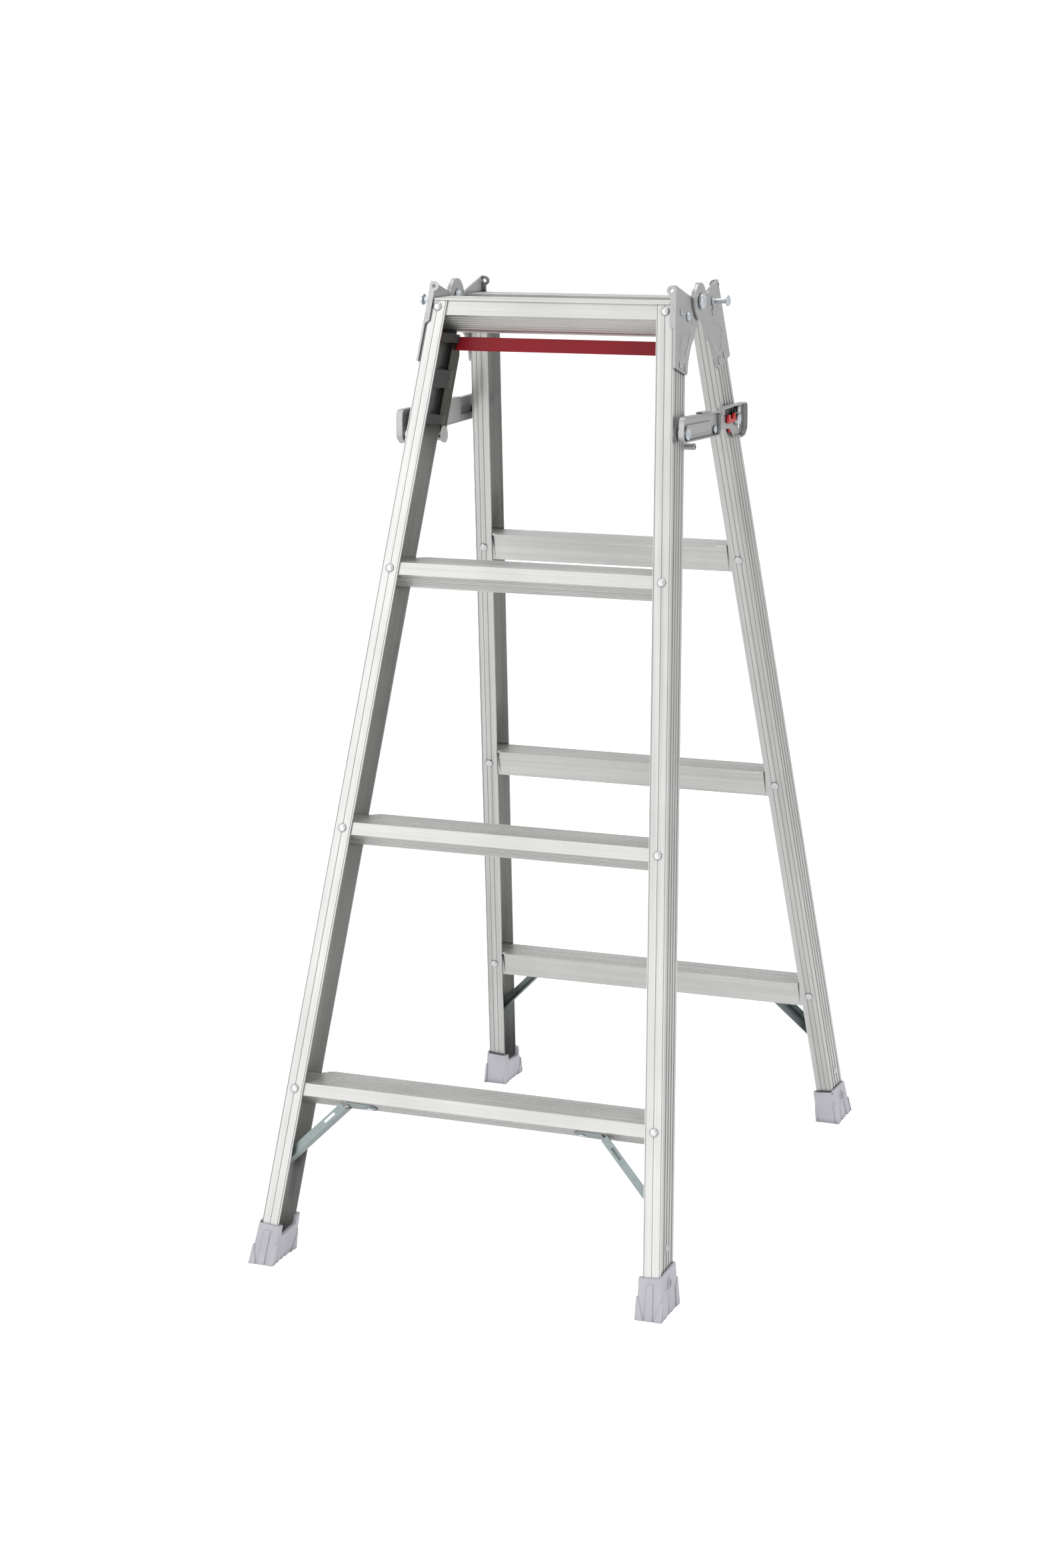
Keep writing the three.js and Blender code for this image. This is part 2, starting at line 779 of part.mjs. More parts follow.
function linkTray() {
  const outline = rounded([
    [-114.4, -8.8],
    [23.2, -11.8],
    [23.2, 16],
    [-114.4, 20.5],
  ], 9, 5);
  const inner = inset(outline, sheet);
  const blank = cut(stayPlate(outline, linkBase, stayRim), stayPlate(inner, linkBase + sheet, 190));
  const emboss = rounded([[-104, -2], [-6, -4], [-6, 7], [-96, 9.5]], 4, 4);
  const raised = cut(
    join(blank, stayPlate(emboss, linkBase + 0.4, linkBase + 3)),
    stayPlate(inset(emboss, 1.5), linkBase - 1, linkBase + 1.5),
  );
  const openings = [
    stayPlate(rounded([[-111.6, -4], [-104.4, -4], [-104.4, 8.5], [-111.6, 8.5]], 2.5, 3), 160, 190),
    stayPlate(ring(-stayReach, 0, 3.3), 160, 190),
    stayPlate(ring(...jointAt, 3.3), 160, 190),
  ];
  return cut(raised, ...openings);
}

function hookBar() {
  const outline = [
    ...rounded([
      [-48, -8, 3],
      [60, -8, 2],
      [77, -9, 4],
      [92, -18.5, 5],
      [103, -22, 5],
      [117, -20, 5],
      [126, -13, 6],
      [126, 18.8, 8],
      [26, 18.8, 0],
      [26, 11, 2],
      [-14, 11, 2],
      [-14, linkTop(-14) + 0.5 + sheet, 0],
      [-48, linkTop(-48) + 0.5 + sheet, 0],
    ], 3, 3),
  ];
  const base = stayPlate(outline, stayBase, stayBase + sheet);
  const tab = stayPlate([
    [-48, linkTop(-48) + 0.5],
    [-14, linkTop(-14) + 0.5],
    [-14, linkTop(-14) + 0.5 + sheet],
    [-48, linkTop(-48) + 0.5 + sheet],
  ], stayBase, stayRim);
  const wallBlank = cut(
    stayPlate(outline, stayBase, stayRim),
    stayPlate(inset(outline, sheet), stayBase - 1, 190),
  );
  const rim = cut(
    wallBlank,
    stayPlate([[-60, -40], [26.5, -40], [26.5, 40], [-60, 40]], 100, 200),
    stayPlate([[20, -40], [98, -40], [98, 2], [20, 2]], stayBase + sheet, 200),
  );
  const slotSide = 4.3;
  const slot = rounded([
    [stayReach + 2.3, slotSide - 0.7],
    [118.6, -9],
    [113.4, -16.4],
    [stayReach - 2.3, 0.7 - slotSide],
  ], 2.5, 3);
  const openings = [
    stayPlate(rounded([[55, 6], [88, 6], [86, 14.5], [55, 14.5]], 2, 2), 150, 190),
    stayPlate(slot, 150, 190),
    stayPlate(ring(stayReach, 0, slotSide), 150, 190),
    stayPlate(ring(...jointAt, 3.3), 150, 190),
    stayPlate(ring(96, 11.6, 2.1, 14), 150, 190),
  ];
  return cut(join(base, tab, rim), ...openings);
}

function turned(profile, y, v, segments = 22) {
  return lathe(profile, segments).translate(0, y, v + stayHeight);
}

function stayPivot() {
  const seat = linkBase + 3 + gap;
  return turned([
    [0, 152.6],
    [6.2, 152.6],
    [6.2, 155.6],
    [3, 155.9],
    [3, seat],
    [7.1, seat],
    [7.1, seat + 2.2],
    [6, seat + 3],
    [2.4, seat + 3],
    [1.6, seat + 2.2],
    [0, seat + 2.2],
  ], -stayReach, 0);
}

function stayWasher() {
  const start = 160.2;
  const end = linkBase - gap;
  return lathe([
    [3.4, start],
    [7.2, start],
    [7.2, end],
    [3.4, end],
    [3.4, start],
  ]).translate(0, -stayReach, stayHeight);
}

function stayJoint() {
  const seat = linkBase + sheet + gap;
  return turned([
    [0, stayBase - gap - 1.7],
    [5, stayBase - gap - 1.7],
    [5, stayBase - gap],
    [3, stayBase - gap],
    [3, seat],
    [4.6, seat],
    [4.6, seat + 1.8],
    [3.6, seat + 2.5],
    [0, seat + 2.5],
  ], ...jointAt);
}

function hookPin() {
  const seat = stayBase + sheet + gap;
  return turned([
    [0, 160.4],
    [6, 160.4],
    [6, stayBase - gap],
    [3.9, stayBase - gap],
    [3.9, seat],
    [6.5, seat],
    [6.5, seat + 4.6],
    [5.5, seat + 5.4],
    [3.4, seat + 5.4],
    [2.8, seat + 4.6],
    [0, seat + 4.6],
  ], stayReach, 0);
}

function latchPiece() {
  const inner = stayBase + sheet + gap;
  const finger = stayPlate(rounded([
    [62, 5.5, 2],
    [62, -5.2, 5],
    [86, -5.2, 5],
    [88.6, 3.2, 2],
    [92, 7.6, 2],
    [96, 7.3, 2],
    [100.3, 9, 3],
    [100.3, 14, 3],
    [95, 16, 3],
    [91, 14.6, 2],
    [84, 8, 2],
    [80.6, 5, 2],
    [80.6, -0.6, 4],
    [69.4, -0.6, 4],
    [69.4, 5.5, 2],
  ], 2, 3), inner, inner + 3);
  const hole = stayPlate(ring(96, 11.6, 2.3, 14), 150, 190);
  return cut(finger, hole);
}

function latchRivet() {
  const inner = stayBase + sheet + gap;
  return turned([
    [0, stayBase - gap - 1.2],
    [3.4, stayBase - gap - 1.2],
    [3.4, stayBase - gap],
    [1.8, stayBase - gap],
    [1.8, inner + 3 + gap],
    [4.4, inner + 3 + gap],
    [4.4, inner + 4.6],
    [3.4, inner + 5.2],
    [0, inner + 5.2],
  ], 96, 11.6, 16);
}

// ---- release bar -------------------------------------------------------------------------------
const barDown = [55, 71];
const stripSide = [-24.3, -22.3];

function releaseBar() {
  const outline = [
    [-36.5, -barDown[0] - 1],
    [-36.5, -barDown[1] + 1],
    [-35.5, -barDown[1]],
    [-34.4, -barDown[1]],
    ...grooved([-33.5, -barDown[1] + 1], [-33.5, -barDown[0] - 1], 4, 0.5, 0.4),
    [-34.4, -barDown[0]],
    [-35.5, -barDown[0]],
  ];
  return endCut(outline, 24.6);
}

function slideStrip() {
  const outline = rounded([
    [47, 55, 2],
    [47, 154, 3],
    [37, 158, 3],
    [35, 171, 4],
    [29, 174, 4],
    [16, 174, 5],
    [13.5, 168, 4],
    [16, 162, 3],
    [22, 154, 4],
    [22, 72, 3],
    [31, 55, 3],
  ], 2, 3);
  const blank = sidePlate(outline, ...stripSide);
  return blank.applyMatrix4(railMatrix);
}

const stubOut = 18.5;
const stubDown = 169.5;

function releaseStub(end) {
  const start = webAt(stubDown) - 21.7;
  return lathe([
    [0, start],
    [3.85, start],
    [3.85, end - 0.5],
    [3.35, end],
    [2.2, end],
    [2.2, end - 9],
    [0, end - 9],
  ], 22).translate(0, -stubOut, -stubDown);
}

// The cover's cross edges climb towards the back of the rail.
const coverClimb = 0.19;
const coverFront = 74.5;
const coverSlant = new THREE.Matrix4().makeShear(0, 0, 0, coverClimb, 0, 0)
  .premultiply(new THREE.Matrix4().makeTranslation(0, 0, coverClimb * coverFront));

function guideCover() {
  const plate = sidePlate([[36, 57], [coverFront, 57], [coverFront, 163], [36, 163]], -20, -17.6);
  const bands = [];
  const slots = [];
  const bandOutline = rounded([
    [-19, -37.2, 0],
    [-19, -74.2, 0],
    [-20.8, -74.2, 1],
    [-22, -66, 6],
    [-25.4, -54, 6],
    [-28, -47, 6],
    [-28, -37.2, 3],
  ], 2, 3);
  for (const [down0, down1] of [[58, 68], [100, 121], [152, 163]]) {
    bands.push(prism(bandOutline, axisX, axisY, -down1, -down0));
    slots.push(frameBox(-24.7, -21.9, 30, 47.4, down0 - 2, down1 + 2));
  }
  const windows = [
    [69.5, 98.5],
    [122.5, 150.5],
  ].map(([down0, down1]) =>
    sidePlate(rounded([[39, down0], [67, down0], [67, down1], [39, down1]], 3, 4), -40, 0));
  const cover = cut(join(plate, ...bands), ...slots, ...windows);
  return cover.applyMatrix4(coverSlant);
}

// ---- assembly ----------------------------------------------------------------------------------
const railToWorld = frameMatrix.clone().multiply(railMatrix);

for (const [end, turn] of [["front", new THREE.Matrix4()], ["rear", turnAround]]) {
  const frame = turn.clone().multiply(frameMatrix);
  const isFront = end === "front";
  const rightOf = isFront ? "right" : "left";
  const leftOf = isFront ? "left" : "right";
  addPart(`${end}_${rightOf}_rail`, rail(true).applyMatrix4(railMatrix), "railAluminium", frame);
  addPart(`${end}_${leftOf}_rail`, mirrorX(rail(false).applyMatrix4(railMatrix)), "railAluminium", frame);
  treadLevels.forEach((level, i) => {
    const body = i === 0 ? topTread() : tread(level);
    addPart(`${end}_tread_${i + 1}`, body, "treadAluminium", frame);
  });
  addPart(`${end}_${rightOf}_brace`, brace(), "braceZinc", frame);
  addPart(`${end}_${leftOf}_brace`, mirrorX(brace()), "braceZinc", frame);
  addPart(`${end}_${rightOf}_foot`, foot(), "footPlastic", turn);
  addPart(`${end}_${leftOf}_foot`, mirrorX(foot()), "footPlastic", turn);
  addPart(`${end}_${rightOf}_hinge_plate`, innerEyePlate().applyMatrix4(railMatrix), "plateSteel", frame);
  addPart(`${end}_${leftOf}_hinge_plate`, mirrorX(outerEyePlate().applyMatrix4(railMatrix)),
    "plateSteel", frame);
  addPart(`${end}_${leftOf}_catch_pin`, mirrorX(catchPin().applyMatrix4(railMatrix)), "pinZinc", frame);
}

for (const [side, turn] of [["right", new THREE.Matrix4()], ["left", turnAround]]) {
  const hinge = turn.clone().multiply(worldFromHinge);
  addPart(`${side}_hinge_pin`, hingePin(), "pinZinc", hinge);
  addPart(`${side}_stay_link`, linkTray(), "plateSteel", hinge);
  addPart(`${side}_stay_hook_bar`, hookBar(), "plateSteel", hinge);
  addPart(`${side}_stay_pivot_rivet`, stayPivot(), "pinZinc", hinge);
  addPart(`${side}_stay_washer`, stayWasher(), "washerWhite", hinge);
  addPart(`${side}_stay_joint_rivet`, stayJoint(), "pinZinc", hinge);
  addPart(`${side}_stay_hook_pin`, hookPin(), "pinZinc", hinge);
  addPart(`${side}_stay_latch`, latchPiece(), "latchRed", hinge);
  addPart(`${side}_stay_latch_rivet`, latchRivet(), "pinZinc", hinge);
}

addPart("release_bar", releaseBar(), "releaseRed", frameMatrix);
addPart("right_slide_strip", slideStrip(), "plateSteel", frameMatrix);
addPart("left_slide_strip", mirrorX(slideStrip()), "plateSteel", frameMatrix);
addPart("right_release_stub", releaseStub(168), "plateSteel", frameMatrix);
addPart("left_release_stub", mirrorX(releaseStub(162.4)), "plateSteel", frameMatrix);
addPart("right_guide_cover", guideCover(), "guidePlastic", railToWorld);
addPart("left_guide_cover", mirrorX(guideCover().applyMatrix4(railMatrix)), "guidePlastic", frameMatrix);

export default model;
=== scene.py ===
"""Looks of the multi position ladder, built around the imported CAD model. Metres, +Z up."""

import math

import bmesh
import bpy
from mathutils import Matrix, Vector


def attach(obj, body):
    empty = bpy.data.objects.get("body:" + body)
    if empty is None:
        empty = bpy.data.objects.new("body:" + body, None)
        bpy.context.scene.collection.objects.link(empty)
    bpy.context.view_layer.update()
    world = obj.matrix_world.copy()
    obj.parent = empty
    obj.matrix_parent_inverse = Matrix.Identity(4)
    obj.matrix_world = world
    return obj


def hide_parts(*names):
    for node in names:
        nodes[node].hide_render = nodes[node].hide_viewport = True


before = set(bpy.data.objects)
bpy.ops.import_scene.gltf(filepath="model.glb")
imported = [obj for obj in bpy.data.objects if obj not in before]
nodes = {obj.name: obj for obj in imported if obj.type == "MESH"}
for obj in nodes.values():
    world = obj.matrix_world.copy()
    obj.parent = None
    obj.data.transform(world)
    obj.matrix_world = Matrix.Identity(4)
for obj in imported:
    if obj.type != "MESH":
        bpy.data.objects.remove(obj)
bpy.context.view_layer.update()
scene = bpy.context.scene

# ---- driving dimensions, the same as the CAD's ---------------------------------------------------
MM = 0.001
LEAN = math.radians(15.8)
SPLAY_SLOPE = 0.087
SPLAY = math.atan(SPLAY_SLOPE)
HINGE_HEIGHT = 1068
WEB_AT_HINGE = 144.7
RAIL_FRONT = 77
RAIL_BACK = 32.7
WALL = 1.8
GAP = 0.3
TREAD_LEVELS = (29.5, 332, 632, 932)
PLATE_THICK = 2.5
STRIP_THICK = 1.6

FRAME_TURN = Matrix.Rotation(-LEAN, 4, "X")
FRAME = Matrix.Translation((0, 0, HINGE_HEIGHT)) @ FRAME_TURN
RAIL = Matrix.Translation((WEB_AT_HINGE, 0, 0)) @ Matrix.Rotation(-SPLAY, 4, "Y")
UNTURNED = Matrix.Identity(4)
HALF_TURN = Matrix.Rotation(math.pi, 4, "Z")
END_TURN = {"front": UNTURNED, "rear": HALF_TURN}
STAY_TURN = {"right": UNTURNED, "left": HALF_TURN}
MIRROR = Matrix.Diagonal((-1, 1, 1, 1))
TO_METRES = Matrix.Scale(MM, 4)


# ---- materials -----------------------------------------------------------------------------------
def new_material(name, metallic, roughness):
    material = bpy.data.materials.new(name)
    material.use_nodes = True
    shader = material.node_tree.nodes["Principled BSDF"]
    shader.inputs["Metallic"].default_value = metallic
    shader.inputs["Roughness"].default_value = roughness
    return material, shader


def add_node(material, kind, **settings):
    node = material.node_tree.nodes.new(kind)
    for key, value in settings.items():
        setattr(node, key, value)
    return node


def link(material, source, output, target, socket):
    material.node_tree.links.new(source.outputs[output], target.inputs[socket])


def stretched_noise(material, turn, stretch, scale, detail=3.0, distortion=0.0):
    """Noise on object coordinates, turned by `turn` and drawn out by `stretch` per axis."""
    coordinates = add_node(material, "ShaderNodeTexCoord")
    mapping = add_node(material, "ShaderNodeMapping", vector_type="TEXTURE")
    mapping.inputs["Rotation"].default_value = turn
    mapping.inputs["Scale"].default_value = stretch
    noise = add_node(material, "ShaderNodeTexNoise")
    noise.inputs["Scale"].default_value = scale
    noise.inputs["Detail"].default_value = detail
    noise.inputs["Distortion"].default_value = distortion
    link(material, coordinates, "Object", mapping, "Vector")
    link(material, mapping, "Vector", noise, "Vector")
    return noise


def ramp(material, source, output, stops):
    node = add_node(material, "ShaderNodeValToRGB")
    elements = node.color_ramp.elements
    while len(elements) < len(stops):
        elements.new(0.5)
    for element, (place, colour) in zip(elements, stops):
        element.position = place
        element.color = (*colour, 1) if len(colour) == 3 else colour
    link(material, source, output, node, "Fac")
    return node


def grey(value):
    return (value, value, value)


def spread(material, source, output, low, high, start=0.3, end=0.7):
    node = add_node(material, "ShaderNodeMapRange")
    node.inputs["From Min"].default_value = start
    node.inputs["From Max"].default_value = end
    node.inputs["To Min"].default_value = low
    node.inputs["To Max"].default_value = high
    link(material, source, output, node, "Value")
    return node


def rgba_mix(material, kind, factor, a_socket, b_socket):
    """Mixes two colour sockets and returns the mix's colour output."""
    node = add_node(material, "ShaderNodeMix", data_type="RGBA", blend_type=kind)
    node.inputs["Factor"].default_value = factor
    colour_inputs = [socket for socket in node.inputs if socket.type == "RGBA"]
    material.node_tree.links.new(a_socket, colour_inputs[0])
    material.node_tree.links.new(b_socket, colour_inputs[1])
    return [socket for socket in node.outputs if socket.type == "RGBA"][0]


def bump_from(material, shader, height_socket, strength, distance, before=None):
    bump = add_node(material, "ShaderNodeBump")
    bump.inputs["Strength"].default_value = strength
    bump.inputs["Distance"].default_value = distance
    material.node_tree.links.new(height_socket, bump.inputs["Height"])
    if before is not None:
        material.node_tree.links.new(before.outputs["Normal"], bump.inputs["Normal"])
    material.node_tree.links.new(bump.outputs["Normal"], shader.inputs["Normal"])
    return bump


def painted_crevice_shade(material, colour, reach, depth, start=0.3, end=0.9):
    """Painted shade: darkens the colour where ambient occlusion finds grooves, rivet heads and lapped edges
    close by.
    """
    hollow = add_node(material, "ShaderNodeAmbientOcclusion", samples=6, only_local=False)
    hollow.inputs["Distance"].default_value = reach * MM
    shade = ramp(material, hollow, "AO", [(start, grey(depth)), (end, grey(1.0))])
    return rgba_mix(material, "MULTIPLY", 1.0, colour, shade.outputs["Color"])


EVEN = (1, 1, 1)
NO_TURN = (0, 0, 0)
AXIS_X = 0
AXIS_Z = 2
EXTRUSION_METALLIC = 0.92
LINE_LENGTH = 420
LINE_SCALE = 1100
STREAK_LENGTH = 60
STREAK_SCALE = 150
BLOTCH_SCALE = 11


def extruded_metal(name, turn, along, light, dark, roughness, painted_shade_depth=0.3, reach=3):
    """Extruded metal: fine die lines along axis `along`, broad streaks, handling marks."""
    material, shader = new_material(name, EXTRUSION_METALLIC, roughness)
    line_stretch = [1, 1, 1]
    line_stretch[along] = LINE_LENGTH
    streak_stretch = [1, 1, 1]
    streak_stretch[along] = STREAK_LENGTH
    lines = stretched_noise(material, turn, line_stretch, LINE_SCALE, 1)
    streaks = stretched_noise(material, turn, streak_stretch, STREAK_SCALE, 2)
    blotch = stretched_noise(material, turn, EVEN, BLOTCH_SCALE, 5, 0.4)
    tone = ramp(material, streaks, "Fac", [(0.3, dark), (0.72, light)])
    fine = ramp(material, lines, "Fac", [(0.3, grey(0.86)), (0.66, grey(1.0))])
    stain = ramp(material, blotch, "Fac", [(0.32, grey(0.9)), (0.62, grey(1.0))])
    colour = rgba_mix(material, "MULTIPLY", 0.7, tone.outputs["Color"], fine.outputs["Color"])
    colour = rgba_mix(material, "MULTIPLY", 0.8, colour, stain.outputs["Color"])
    # painted shade: the colour is darkened in grooves and along edges by ambient occlusion
    colour = painted_crevice_shade(material, colour, reach, painted_shade_depth)
    material.node_tree.links.new(colour, shader.inputs["Base Color"])
    rough = spread(material, streaks, "Fac", roughness - 0.07, roughness + 0.1)
    material.node_tree.links.new(rough.outputs["Result"], shader.inputs["Roughness"])
    first = bump_from(material, shader, lines.outputs["Fac"], 0.25, 0.0001)
    bump_from(material, shader, streaks.outputs["Fac"], 0.2, 0.0003, first)
    return material


SCUFF_TURN = (0.4, 0.2, 0.7)
SCUFF_STRETCH = (1, 1, 9)


def plated_steel(name, light, dark, roughness, metallic=0.9, scale=220):
    """Zinc-plated or pressed steel: a faint mottle with small scuffs."""
    material, shader = new_material(name, metallic, roughness)
    mottle = stretched_noise(material, NO_TURN, EVEN, scale, 4, 0.3)
    scuffs = stretched_noise(material, SCUFF_TURN, SCUFF_STRETCH, scale * 2.4, 2)
    tone = ramp(material, mottle, "Fac", [(0.3, dark), (0.68, light)])
    scratch = ramp(material, scuffs, "Fac", [(0.36, grey(0.88)), (0.5, grey(1.0))])
    colour = rgba_mix(material, "MULTIPLY", 0.55, tone.outputs["Color"], scratch.outputs["Color"])
    # painted shade: the colour is darkened around rivets, pads and plate edges by ambient occlusion
    colour = painted_crevice_shade(material, colour, 3, 0.2)
    material.node_tree.links.new(colour, shader.inputs["Base Color"])
    rough = spread(material, mottle, "Fac", roughness - 0.08, roughness + 0.1)
    material.node_tree.links.new(rough.outputs["Result"], shader.inputs["Roughness"])
    bump_from(material, shader, mottle.outputs["Fac"], 0.12, 0.0002)
    return material


DRIFT_SCALE = 28


def moulded_plastic(name, light, dark, roughness, grain=1400, coat=0.0, bump=0.25, reach=2.5):
    """Moulded plastic: a spark-eroded grain and slight colour drift."""
    material, shader = new_material(name, 0.0, roughness)
    shader.inputs["Coat Weight"].default_value = coat
    shader.inputs["Coat Roughness"].default_value = 0.12
    texture = stretched_noise(material, NO_TURN, EVEN, grain, 2)
    drift = stretched_noise(material, NO_TURN, EVEN, DRIFT_SCALE, 4)
    tone = ramp(material, drift, "Fac", [(0.3, dark), (0.7, light)])
    # painted shade: the colour is darkened in hollows and near the rail by ambient occlusion
    colour = painted_crevice_shade(material, tone.outputs["Color"], reach, 0.55)
    material.node_tree.links.new(colour, shader.inputs["Base Color"])
    rough = spread(material, drift, "Fac", roughness - 0.06, roughness + 0.08)
    material.node_tree.links.new(rough.outputs["Result"], shader.inputs["Roughness"])
    bump_from(material, shader, texture.outputs["Fac"], bump, 0.0002)
    return material


RAIL_LIGHT = (0.72, 0.72, 0.71)
RAIL_DARK = (0.58, 0.58, 0.57)
TREAD_LIGHT = (0.735, 0.735, 0.72)
TREAD_DARK = (0.61, 0.61, 0.595)


def rail_material(name, end, lean_side):
    """Rail metal with its lines along the rail, which leans out to lean_side of its own frame."""
    turn = END_TURN[end] @ FRAME_TURN @ Matrix.Rotation(-SPLAY * lean_side, 4, "Y")
    return extruded_metal(name, turn.to_euler(), AXIS_Z, RAIL_LIGHT, RAIL_DARK, 0.34)


rail_materials = {
    ("front", "right"): rail_material("rail_metal_front_right", "front", 1),
    ("front", "left"): rail_material("rail_metal_front_left", "front", -1),
    ("rear", "left"): rail_material("rail_metal_rear_left", "rear", 1),
    ("rear", "right"): rail_material("rail_metal_rear_right", "rear", -1),
}
tread_metal = extruded_metal("tread_metal", NO_TURN, AXIS_X, TREAD_LIGHT, TREAD_DARK, 0.42, 0.8, 1.0)
plate_steel = plated_steel("pressed_plate", (0.53, 0.53, 0.53), (0.46, 0.46, 0.46), 0.42)
pin_zinc = plated_steel("bright_zinc", (0.70, 0.74, 0.78), (0.62, 0.67, 0.71), 0.30, 0.95, 420)
rivet_steel = plated_steel("rivet_steel", (0.54, 0.55, 0.56), (0.46, 0.47, 0.48), 0.34, 0.92, 380)
brace_zinc = plated_steel("dull_zinc", (0.34, 0.39, 0.39), (0.25, 0.30, 0.30), 0.42, 0.85, 160)
# wide reach of the painted shade, darkening the foot's pocket next to the rail
foot_plastic = moulded_plastic("foot_plastic", (0.56, 0.555, 0.60), (0.48, 0.475, 0.52), 0.55, reach=8)
strip_steel = plated_steel("strip_steel", (0.055, 0.055, 0.036), (0.034, 0.034, 0.022), 0.42, 0.8, 260)
rivet_bright = plated_steel("rivet_bright", (0.74, 0.74, 0.74), (0.66, 0.66, 0.66), 0.34, 0.92, 380)
slide_metal = plated_steel("slide_metal", (0.15, 0.16, 0.15), (0.11, 0.12, 0.11), 0.45, 0.6, 260)
dark_steel = plated_steel("dark_steel", (0.10, 0.105, 0.10), (0.06, 0.065, 0.06), 0.4, 0.7, 300)
guide_plastic = moulded_plastic("guide_plastic", (0.048, 0.051, 0.048), (0.035, 0.038, 0.034), 0.5)
release_red = moulded_plastic("release_red", (0.32, 0.010, 0.020), (0.25, 0.007, 0.014), 0.4, 900, 0.0, 0.08)
release_red.node_tree.nodes["Principled BSDF"].inputs["Specular IOR Level"].default_value = 0.25
latch_red = moulded_plastic("latch_red", (0.62, 0.006, 0.008), (0.5, 0.004, 0.006), 0.38, 900, 0.1, 0.08)
washer_white = moulded_plastic("washer_white", (0.78, 0.78, 0.77), (0.7, 0.7, 0.69), 0.45)


# ---- CAD nodes that keep their shape -------------------------------------------------------------
WELD_DISTANCE = 0.02 * MM
FLAT_ANGLE = math.radians(0.6)


def refine(node, width, smooth_angle, segments):
    """Welds a CAD mesh, clears its flat triangulation and rounds its edges, all as modifiers."""
    mesh = node.data
    for polygon in mesh.polygons:
        polygon.use_smooth = True
    if "custom_normal" in mesh.attributes:
        mesh.attributes.remove(mesh.attributes["custom_normal"])
    weld = node.modifiers.new("weld", "WELD")
    weld.merge_threshold = WELD_DISTANCE
    flat = node.modifiers.new("flat", "DECIMATE")
    flat.decimate_type = "DISSOLVE"
    flat.angle_limit = FLAT_ANGLE
    bevel = node.modifiers.new("bevel", "BEVEL")
    bevel.width = width * MM
    bevel.segments = segments
    bevel.limit_method = "ANGLE"
    bevel.angle_limit = math.radians(smooth_angle)
    bevel.harden_normals = True
    bevel.use_clamp_overlap = True


def dress(node_name, material, width=0.4, smooth_angle=30.0, segments=2):
    """Gives a CAD node its material and rounded edges; width is in millimetres."""
    node = nodes[node_name]
    node.data.materials.clear()
    node.data.materials.append(material)
    refine(node, width, smooth_angle, segments)


for end in ("front", "rear"):
    for side in ("right", "left"):
        dress(f"{end}_{side}_rail", rail_materials[end, side], 0.35)
        dress(f"{end}_{side}_brace", brace_zinc, 0.35)
        dress(f"{end}_{side}_foot", foot_plastic, 0.8)
        dress(f"{end}_{side}_hinge_plate", plate_steel, 1.0, segments=3)
    for i in range(1, 5):
        dress(f"{end}_tread_{i}", tread_metal, 0.2)
dress("front_left_catch_pin", pin_zinc, 0.3)
dress("rear_right_catch_pin", pin_zinc, 0.3)
for side in ("right", "left"):
    dress(f"{side}_hinge_pin", pin_zinc, 0.4)
    dress(f"{side}_stay_link", plate_steel, 0.4)
    dress(f"{side}_stay_hook_bar", plate_steel, 0.4)
    dress(f"{side}_stay_pivot_rivet", pin_zinc, 0.3)
    dress(f"{side}_stay_joint_rivet", pin_zinc, 0.3)
    dress(f"{side}_stay_hook_pin", pin_zinc, 0.3)
    dress(f"{side}_stay_latch_rivet", pin_zinc, 0.3)
    dress(f"{side}_stay_washer", washer_white, 0.3)
    nodes[f"{side}_stay_latch"].data.materials.clear()
    nodes[f"{side}_stay_latch"].data.materials.append(latch_red)
    dress(f"{side}_slide_strip", strip_steel, 0.3)
    dress(f"{side}_release_stub", plate_steel, 0.3)
    dress(f"{side}_guide_cover", guide_plastic, 0.4)
dress("release_bar", release_red, 0.3)


# ---- pieces made here ----------------------------------------------------------------------------
def lathe_mesh(builder, profile, matrix, segments=28):
    """Adds a turned solid to a bmesh. profile is (radius, along +X) in millimetres, from axis to axis."""
    rings = []
    for radius, along in profile:
        if radius < 1e-6:
            rings.append([builder.verts.new(matrix @ Vector((along, 0, 0)))])
            continue
        ring = []
        for k in range(segments):
            angle = 2 * math.pi * k / segments
            point = Vector((along, radius * math.cos(angle), radius * math.sin(angle)))
            ring.append(builder.verts.new(matrix @ point))
        rings.append(ring)
    for a, b in zip(rings, rings[1:]):
        for k in range(segments):
            j = (k + 1) % segments
            corners = []
            for vertex in (a[k % len(a)], a[j % len(a)], b[j % len(b)], b[k % len(b)]):
                if vertex not in corners:
                    corners.append(vertex)
            if len(corners) > 2:
                builder.faces.new(corners)


def finish_piece(name, builder, material, body, smooth_angle=35.0):
    bmesh.ops.recalc_face_normals(builder, faces=builder.faces)
    mesh = bpy.data.meshes.new(name)
    builder.to_mesh(mesh)
    builder.free()
    mesh.transform(TO_METRES)
    for polygon in mesh.polygons:
        polygon.use_smooth = True
    mesh.set_sharp_from_angle(angle=math.radians(smooth_angle))
    mesh.materials.append(material)
    piece = bpy.data.objects.new(name, mesh)
    scene.collection.objects.link(piece)
    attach(piece, body)
    return piece


RIVET_HEAD = [
    (0, 2.3), (2.0, 2.28), (3.4, 2.15), (4.1, 1.8), (4.6, 1.2), (4.8, 0.6), (4.8, 0.25), (4.3, 0.2),
    (4.3, -0.4), (0, -0.4),
]


def facing(point, direction):
    """Matrix that puts a lathe's +X axis along a direction at a point."""
    turn = Vector((1, 0, 0)).rotation_difference(Vector(direction)).to_matrix().to_4x4()
    return Matrix.Translation(point) @ turn


def web_at(down):
    return WEB_AT_HINGE + SPLAY_SLOPE * down


